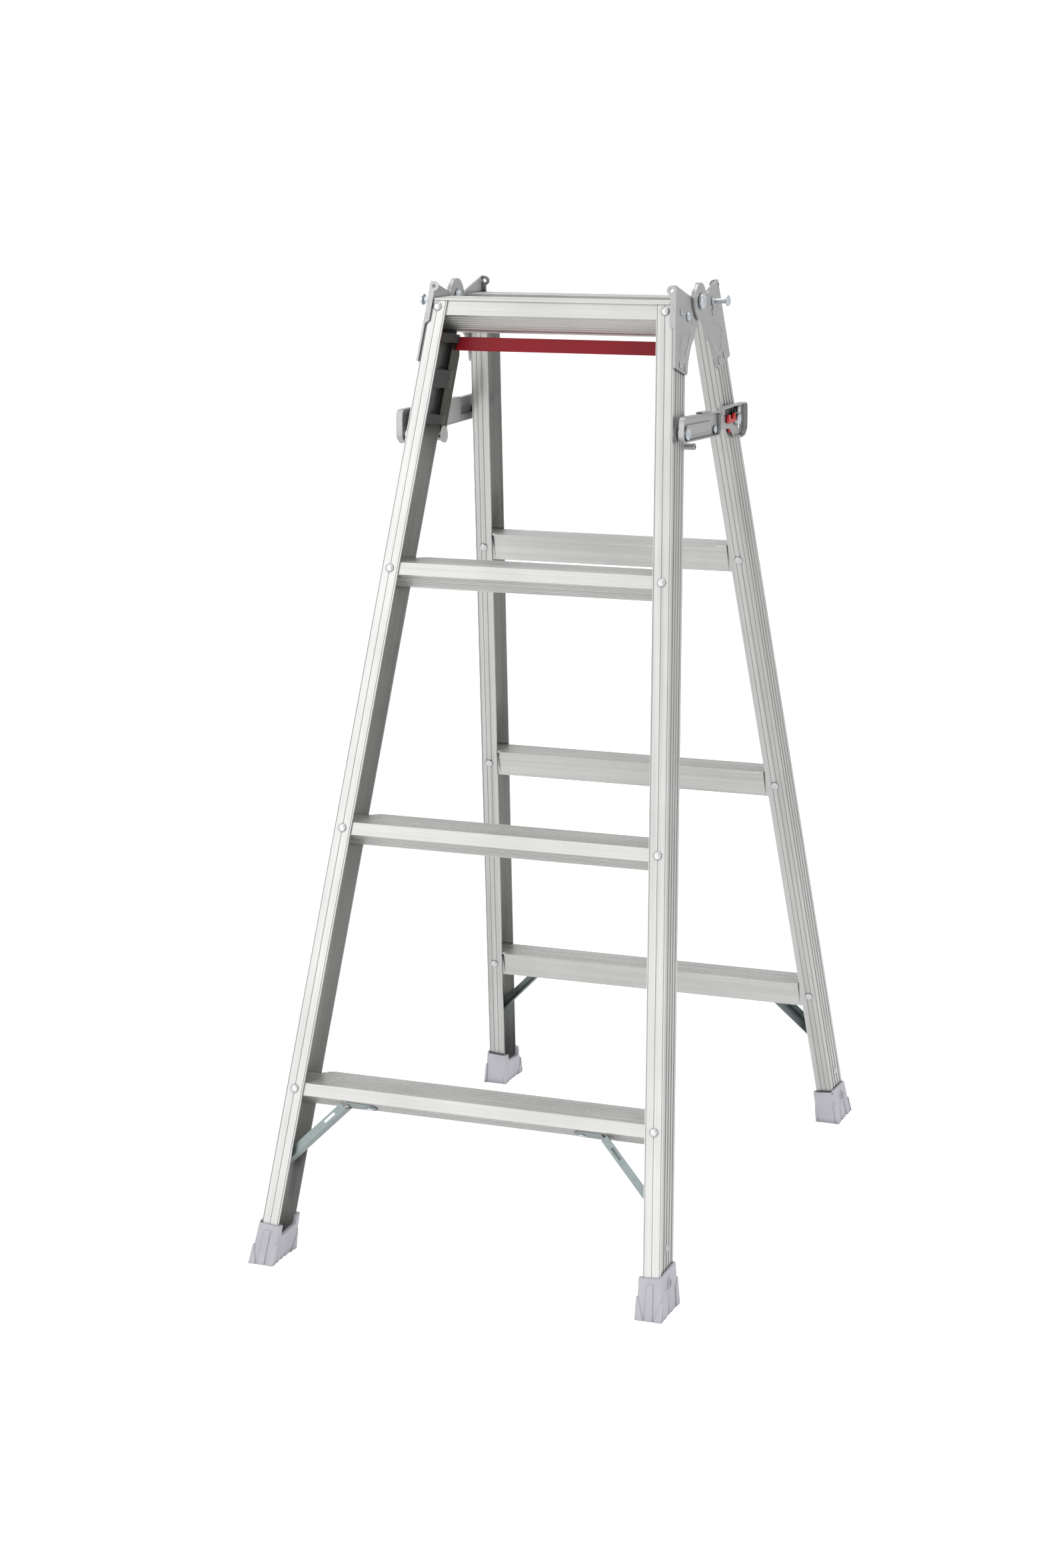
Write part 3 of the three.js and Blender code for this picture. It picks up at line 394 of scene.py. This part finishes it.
TREAD_RIVET_INSET = 10.3
for end in ("front", "rear"):
    to_row = END_TURN[end] @ FRAME
    builder = bmesh.new()
    for down in TREAD_LEVELS:
        for side in (-1, 1):
            x = side * (web_at(down) - TREAD_RIVET_INSET)
            outer = facing((x, -RAIL_FRONT, -down), (0, -1, 0))
            inner = facing((x, -RAIL_BACK, -down), (0, 1, 0))
            lathe_mesh(builder, RIVET_HEAD, to_row @ outer)
            lathe_mesh(builder, RIVET_HEAD, to_row @ inner)
    finish_piece(f"{end}_tread_rivets", builder, rivet_bright, f"{end}_frame")


def rail_space(end, kind):
    """Matrix from a rail's own space, on the right or mirrored to the left of its frame."""
    side = MIRROR if kind == "outer" else UNTURNED
    return END_TURN[end] @ FRAME @ side @ RAIL


def lathe_at(builder, profile, matrix, x, out, down):
    """Turned solid standing along a rail's +X at (x, outward, down) in rail space."""
    lathe_mesh(builder, profile, matrix @ Matrix.Translation((x, -out, -down)))


def smooth_loop(points, rounds=2):
    """Chaikin corner cutting of a closed outline."""
    for _ in range(rounds):
        finer = []
        for a, b in zip(points, points[1:] + points[:1]):
            finer.append(tuple(0.75 * p + 0.25 * q for p, q in zip(a, b)))
            finer.append(tuple(0.25 * p + 0.75 * q for p, q in zip(a, b)))
        points = finer
    return points


def pad_mesh(builder, outline, matrix, base, profile, rounds=2, spread_from_centre=0):
    """Raised pad on the plane x = base. outline is (outward, down); profile is (inset, height).

    The insets run square to the edge, or towards the middle when spread_from_centre gives the
    distance over which they are scaled.
    """
    points = smooth_loop(outline, rounds)
    count = len(points)
    centre = Vector((sum(p[0] for p in points) / count, sum(p[1] for p in points) / count))
    area = sum(a[0] * b[1] - a[1] * b[0] for a, b in zip(points, points[1:] + points[:1]))
    facing_in = 1 if area > 0 else -1
    normals = []
    for k in range(count):
        before = Vector(points[k - 1])
        after = Vector(points[(k + 1) % count])
        run = (after - before).normalized()
        normals.append(Vector((-run.y, run.x)) * facing_in)
    loops = []
    for inward, height in profile:
        loop = []
        for point, normal in zip(points, normals):
            place = Vector(point) + normal * inward
            if spread_from_centre:
                place = centre + (Vector(point) - centre) * (1 - inward / spread_from_centre)
            loop.append(builder.verts.new(matrix @ Vector((base + height, -place.x, -place.y))))
        loops.append(loop)
    for low, high in zip(loops, loops[1:]):
        for k in range(count):
            j = (k + 1) % count
            builder.faces.new((low[k], low[j], high[j], high[k]))
    builder.faces.new(loops[-1])
    builder.faces.new(list(reversed(loops[0])))


# ---- hinge plates: rivets, dimples and pressed pads ----------------------------------------------
PLATE_FACE = GAP + PLATE_THICK
PLATE_RIVET = [
    (0, 1.9), (2.6, 1.8), (3.7, 1.4), (4.3, 0.8), (4.4, 0.25), (3.9, 0.2), (3.9, -0.3), (0, -0.3),
]
BIG_RIVET = [
    (0, 2.7), (3.6, 2.6), (4.6, 2.1), (5.0, 1.3), (5.0, 0.3), (4.5, 0.2), (4.5, -0.3), (0, -0.3),
]
DIMPLE = [(0, 0.1), (0.7, 0.15), (1.1, 0.7), (1.7, 0.75), (2.2, 0.4), (2.4, -0.2), (0, -0.2)]
PAD_RADIUS = 20
PAD_EDGE = [
    (-4.6, -0.3), (-4.2, 0.05), (-2.8, 0.4), (-1.4, 1.0), (-0.5, 1.35), (0.1, 1.35), (0.5, 1.1),
    (1.0, 0.35), (1.5, 0.1), (2.4, 0.06),
]
INNER_PAD = [(36, 66), (27, 48), (24, 40), (34, 42), (50, 48), (59, 57), (61, 68), (56, 75), (44, 77)]
OUTER_PAD = [(21, 31), (40, 37), (60, 46), (68, 53), (66, 64), (50, 76), (43, 78), (35, 66), (19, 38)]

PLATE_SIDE = {
    ("front", "inner"): "right",
    ("front", "outer"): "left",
    ("rear", "inner"): "left",
    ("rear", "outer"): "right",
}
PAD_OUTLINE = {"inner": INNER_PAD, "outer": OUTER_PAD}
PLATE_RIVET_SPOTS = {
    "inner": ((59, 26), (60, 86), (40, 86)),
    "outer": ((46, 28), (62, 86), (42, 86)),
}
BIG_RIVET_SPOT = (35, 26)
DIMPLE_SPOT = (18, 28)

for end in ("front", "rear"):
    for kind in ("inner", "outer"):
        name = f"{end}_{PLATE_SIDE[end, kind]}_plate"
        space = rail_space(end, kind)
        heads = bmesh.new()
        for out, down in PLATE_RIVET_SPOTS[kind]:
            lathe_at(heads, PLATE_RIVET, space, PLATE_FACE, out, down)
        if kind == "inner":
            bright = bmesh.new()
            lathe_at(bright, BIG_RIVET, space, PLATE_FACE, *BIG_RIVET_SPOT)
            finish_piece(name + "_bright_rivet", bright, pin_zinc, f"{end}_frame")
            lathe_at(heads, DIMPLE, space, PLATE_FACE, *DIMPLE_SPOT)
        finish_piece(name + "_rivets", heads, rivet_steel, f"{end}_frame")
        pad = bmesh.new()
        pad_mesh(pad, PAD_OUTLINE[kind], space, PLATE_FACE, PAD_EDGE, 3, PAD_RADIUS)
        finish_piece(name + "_pressing", pad, plate_steel, f"{end}_frame", 60)


# ---- brace rivets --------------------------------------------------------------------------------
TUBE_RIVET = [
    (0, -0.6), (1.3, -0.5), (1.7, 0.5), (2.4, 1.1), (3.6, 1.0), (4.4, 0.4), (4.6, -0.2), (4.6, -0.5),
    (0, -0.9),
]
BRACE_HOLE_OUT = 56
BRACE_HOLE_DOWN = 1060
BRACE_TAB_OUT = 60
BRACE_TAB_FROM_WEB = 98
for end in ("front", "rear"):
    heads = bmesh.new()
    for kind in ("inner", "outer"):
        lathe_at(heads, TUBE_RIVET, rail_space(end, kind), 0, BRACE_HOLE_OUT, BRACE_HOLE_DOWN)
    finish_piece(f"{end}_brace_web_rivets", heads, pin_zinc, f"{end}_frame")


TREAD_FRONT = RAIL_FRONT - WALL - GAP
SLANT_FRONT_DEPTH = 6.9
SLANT_BACK_DEPTH = 16.2
SLANT_BACK_OUT = 45
TAB_SLOPE = (SLANT_BACK_DEPTH - SLANT_FRONT_DEPTH) / (TREAD_FRONT - SLANT_BACK_OUT)
TAB_DROP = SLANT_FRONT_DEPTH + (TREAD_FRONT - BRACE_TAB_OUT) * TAB_SLOPE + GAP + STRIP_THICK
TAB_DOWN = TREAD_LEVELS[3] + TAB_DROP
for end in ("front", "rear"):
    heads = bmesh.new()
    for side in (-1, 1):
        x = side * (web_at(TREAD_LEVELS[3]) - BRACE_TAB_FROM_WEB)
        place = facing((x, -BRACE_TAB_OUT, -TAB_DOWN), (0, -TAB_SLOPE, -1))
        lathe_mesh(heads, PLATE_RIVET, END_TURN[end] @ FRAME @ place)
    finish_piece(f"{end}_brace_tab_rivets", heads, pin_zinc, f"{end}_frame")


# ---- stays: latch hook, its dark link and a dark plate behind the window as painted shade --------
STAY_HEIGHT = -141
HOOK_BAR_INNER = 163
LATCH_INNER = HOOK_BAR_INNER + STRIP_THICK + GAP
LATCH_THICK = 3.0
ARM_THICK = 2.2
TAIL_INNER = 160.8
TAIL_THICK = 1.9
SHADE_INNER = 161.4
SHADE_THICK = 1.3
LATCH_HOOK = [
    (59, 8), (58.8, 0), (62, -2.2), (84, -2.4), (88.5, 0.5), (89, 8.6), (81, 8.8), (80, 3.4), (77, 2),
    (71.5, 2.2), (70, 4.2), (69.8, 8),
]
LATCH_ARM = [(85.5, 9), (88.5, 3), (92, 7.4), (96, 7), (100.4, 9), (100.4, 14), (95.5, 16.2), (90.5, 14.6)]
LATCH_TAIL = [(80.5, -7), (79.5, -12), (84, -15.4), (96, -15), (99, -11.5), (98, -7)]
WINDOW_PAINTED_SHADE = [(52, 4.4), (90, 4.4), (90, 16.6), (52, 16.6)]


def slab_profile(thick, edge):
    """Section of a flat piece with its rims eased by `edge`."""
    return [(edge, 0), (0, edge), (0, thick - edge), (edge * 0.3, thick - edge * 0.3), (edge, thick)]


def stay_slab(name, outline, side, x0, thick, edge, material, body, rounds=2):
    """Flat piece in a stay's plane; outline is (along the stay, up)."""
    space = STAY_TURN[side] @ Matrix.Translation((0, 0, HINGE_HEIGHT + STAY_HEIGHT))
    builder = bmesh.new()
    pad_mesh(builder, [(-a, -b) for a, b in outline], space, x0, slab_profile(thick, edge), rounds)
    return finish_piece(name, builder, material, body, 40)


for side in ("right", "left"):
    hook = stay_slab(f"{side}_latch_hook", LATCH_HOOK, side, LATCH_INNER, LATCH_THICK, 0.8,
                     latch_red, f"{side}_latch")
    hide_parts(f"{side}_stay_latch")
    stay_slab(f"{side}_latch_arm", LATCH_ARM, side, LATCH_INNER, ARM_THICK, 0.5,
              dark_steel, f"{side}_latch")
    stay_slab(f"{side}_latch_tail", LATCH_TAIL, side, TAIL_INNER, TAIL_THICK, 0.5,
              latch_red, f"{side}_latch")
    # dark plate behind the window: painted shade standing in for the shadow inside it
    stay_slab(f"{side}_window_painted_shade", WINDOW_PAINTED_SHADE, side, SHADE_INNER, SHADE_THICK, 0.3,
              dark_steel, f"{side}_stay_hook", 0)


# ---- guide covers: the slide seen through their windows, with a painted highlight along its edge ---
SLIDE_TOP = 58
SLIDE_BOTTOM = 155
SLIDE_BASE = -17.3
SLIDE_THICK = 1.4
HIGHLIGHT_BASE = -18.2
HIGHLIGHT_THICK = 2.0


def upright(out0, out1):
    return [(out0, SLIDE_TOP), (out1, SLIDE_TOP), (out1, SLIDE_BOTTOM), (out0, SLIDE_BOTTOM)]


for kind, side in (("inner", "right"), ("outer", "left")):
    space = rail_space("front", kind)
    slide = bmesh.new()
    pad_mesh(slide, upright(41.8, 65.5), space, SLIDE_BASE, slab_profile(SLIDE_THICK, 0.3), 0)
    finish_piece(f"{side}_inner_slide", slide, slide_metal, "front_frame", 40)
    # bright strip along the slide's edge: a painted highlight for the light caught by its rounded edge
    edge = bmesh.new()
    pad_mesh(edge, upright(39.8, 41.5), space, HIGHLIGHT_BASE, slab_profile(HIGHLIGHT_THICK, 0.2), 0)
    finish_piece(f"{side}_inner_slide_painted_highlight", edge, rivet_bright, "front_frame", 40)


# ---- light-coloured lower ends of the slide strips -----------------------------------------------
HOOK_END = [
    (36.4, 157), (35.6, 171), (29, 174.6), (15.8, 174.6), (12.9, 168), (15.8, 161.5), (22, 156),
]
HOOK_END_BASE = -24.8
HOOK_END_THICK = 3.0
for kind, side in (("inner", "right"), ("outer", "left")):
    hook_end = bmesh.new()
    section = slab_profile(HOOK_END_THICK, 0.5)
    pad_mesh(hook_end, HOOK_END, rail_space("front", kind), HOOK_END_BASE, section, 1)
    finish_piece(f"{side}_slide_end", hook_end, plate_steel, "release", 40)


# ---- stage, light and camera ---------------------------------------------------------------------
def area_light(name, place, target, size, power):
    data = bpy.data.lights.new(name, "AREA")
    data.shape = "RECTANGLE"
    data.size = size[0]
    data.size_y = size[1]
    data.energy = power
    light = bpy.data.objects.new(name, data)
    light.location = place
    light.rotation_euler = (Vector(target) - Vector(place)).to_track_quat("-Z", "Y").to_euler()
    scene.collection.objects.link(light)


FLOOR_SIDE = 40.0
FLOOR_NEAR = -40.0
FLOOR_FAR = 13.0
SWEEP_RADIUS = 6.5
WALL_TOP = 36.0
floor_line = [(FLOOR_NEAR, 0.0), (FLOOR_FAR, 0.0)]
SWEEP_STEPS = 12
for step in range(1, SWEEP_STEPS + 1):
    angle = step * math.pi / 2 / SWEEP_STEPS
    floor_line.append((
        FLOOR_FAR + SWEEP_RADIUS * math.sin(angle),
        SWEEP_RADIUS * (1 - math.cos(angle)),
    ))
floor_line.append((FLOOR_FAR + SWEEP_RADIUS, WALL_TOP))
floor_builder = bmesh.new()
floor_rows = [
    [floor_builder.verts.new((x, y, z)) for x in (-FLOOR_SIDE, FLOOR_SIDE)] for y, z in floor_line
]
for near, far in zip(floor_rows, floor_rows[1:]):
    floor_builder.faces.new((near[0], near[1], far[1], far[0]))
floor_mesh = bpy.data.meshes.new("floor")
floor_builder.to_mesh(floor_mesh)
floor_builder.free()
for polygon in floor_mesh.polygons:
    polygon.use_smooth = True
floor = bpy.data.objects.new("floor", floor_mesh)
FLOOR_GLOW = 0.25
FLOOR_GLOW_SEEN = 0.85
floor_material, floor_shader = new_material("floor", 0.0, 0.95)
floor_shader.inputs["Base Color"].default_value = (0.72, 0.72, 0.72, 1)
floor_shader.inputs["Emission Color"].default_value = (1, 1, 1, 1)
rays = add_node(floor_material, "ShaderNodeLightPath")
glow = add_node(floor_material, "ShaderNodeMapRange")
glow.inputs["To Min"].default_value = FLOOR_GLOW
glow.inputs["To Max"].default_value = FLOOR_GLOW_SEEN
link(floor_material, rays, "Is Camera Ray", glow, "Value")
link(floor_material, glow, "Result", floor_shader, "Emission Strength")
floor_mesh.materials.append(floor_material)
scene.collection.objects.link(floor)

SKY_STRENGTH = 0.66
HORIZON_LIGHT = 0.45
HORIZON_BAND = 0.2
world = bpy.data.worlds.new("studio")
scene.world = world
world.use_nodes = True
sky_nodes = world.node_tree.nodes
sky_links = world.node_tree.links
sky_place = sky_nodes.new("ShaderNodeTexCoord")
sky_split = sky_nodes.new("ShaderNodeSeparateXYZ")
sky_ramp = sky_nodes.new("ShaderNodeValToRGB")
sky_ramp.color_ramp.elements[0].position = 0.0
sky_ramp.color_ramp.elements[0].color = (*grey(HORIZON_LIGHT), 1)
sky_ramp.color_ramp.elements[1].position = HORIZON_BAND
sky_ramp.color_ramp.elements[1].color = (1, 1, 1, 1)
sky_links.new(sky_place.outputs["Generated"], sky_split.inputs["Vector"])
sky_links.new(sky_split.outputs["Z"], sky_ramp.inputs["Fac"])
sky_links.new(sky_ramp.outputs["Color"], sky_nodes["Background"].inputs["Color"])
sky_nodes["Background"].inputs["Strength"].default_value = SKY_STRENGTH
backdrop = sky_nodes.new("ShaderNodeBackground")
backdrop.inputs["Color"].default_value = (1, 1, 1, 1)
sky_rays = sky_nodes.new("ShaderNodeLightPath")
sky_choice = sky_nodes.new("ShaderNodeMixShader")
sky_links.new(sky_rays.outputs["Is Camera Ray"], sky_choice.inputs["Fac"])
sky_links.new(sky_nodes["Background"].outputs["Background"], sky_choice.inputs[1])
sky_links.new(backdrop.outputs["Background"], sky_choice.inputs[2])
sky_links.new(sky_choice.outputs["Shader"], sky_nodes["World Output"].inputs["Surface"])

area_light("key", (-2.0, -3.0, 2.4), (0, 0, 0.6), (1.8, 2.4), 21)
area_light("fill", (3.2, -1.4, 1.8), (0, 0, 0.6), (1.6, 2.8), 18)
area_light("front", (-0.9, -4.6, 0.8), (0, 0, 0.45), (3.4, 1.5), 22)
area_light("top", (0, 0.4, 3.6), (0, 0, 0.5), (2.6, 2.6), 40)

CAMERA_PLACE = (1.2087, -3.2783, 1.2493)
CAMERA_AZIMUTH = math.radians(21.23)
CAMERA_ELEVATION = math.radians(12.15)
CAMERA_LENS = 68.96
CAMERA_SENSOR = 36
camera_data = bpy.data.cameras.new("camera")
camera_data.lens = CAMERA_LENS
camera_data.sensor_width = CAMERA_SENSOR
camera = bpy.data.objects.new("camera", camera_data)
back = Vector((
    math.sin(CAMERA_AZIMUTH) * math.cos(CAMERA_ELEVATION),
    -math.cos(CAMERA_AZIMUTH) * math.cos(CAMERA_ELEVATION),
    math.sin(CAMERA_ELEVATION),
))
camera.location = CAMERA_PLACE
camera.rotation_mode = "QUATERNION"
camera.rotation_quaternion = (-back).to_track_quat("-Z", "Y")
scene.collection.objects.link(camera)
scene.camera = camera
scene.view_settings.view_transform = "Standard"
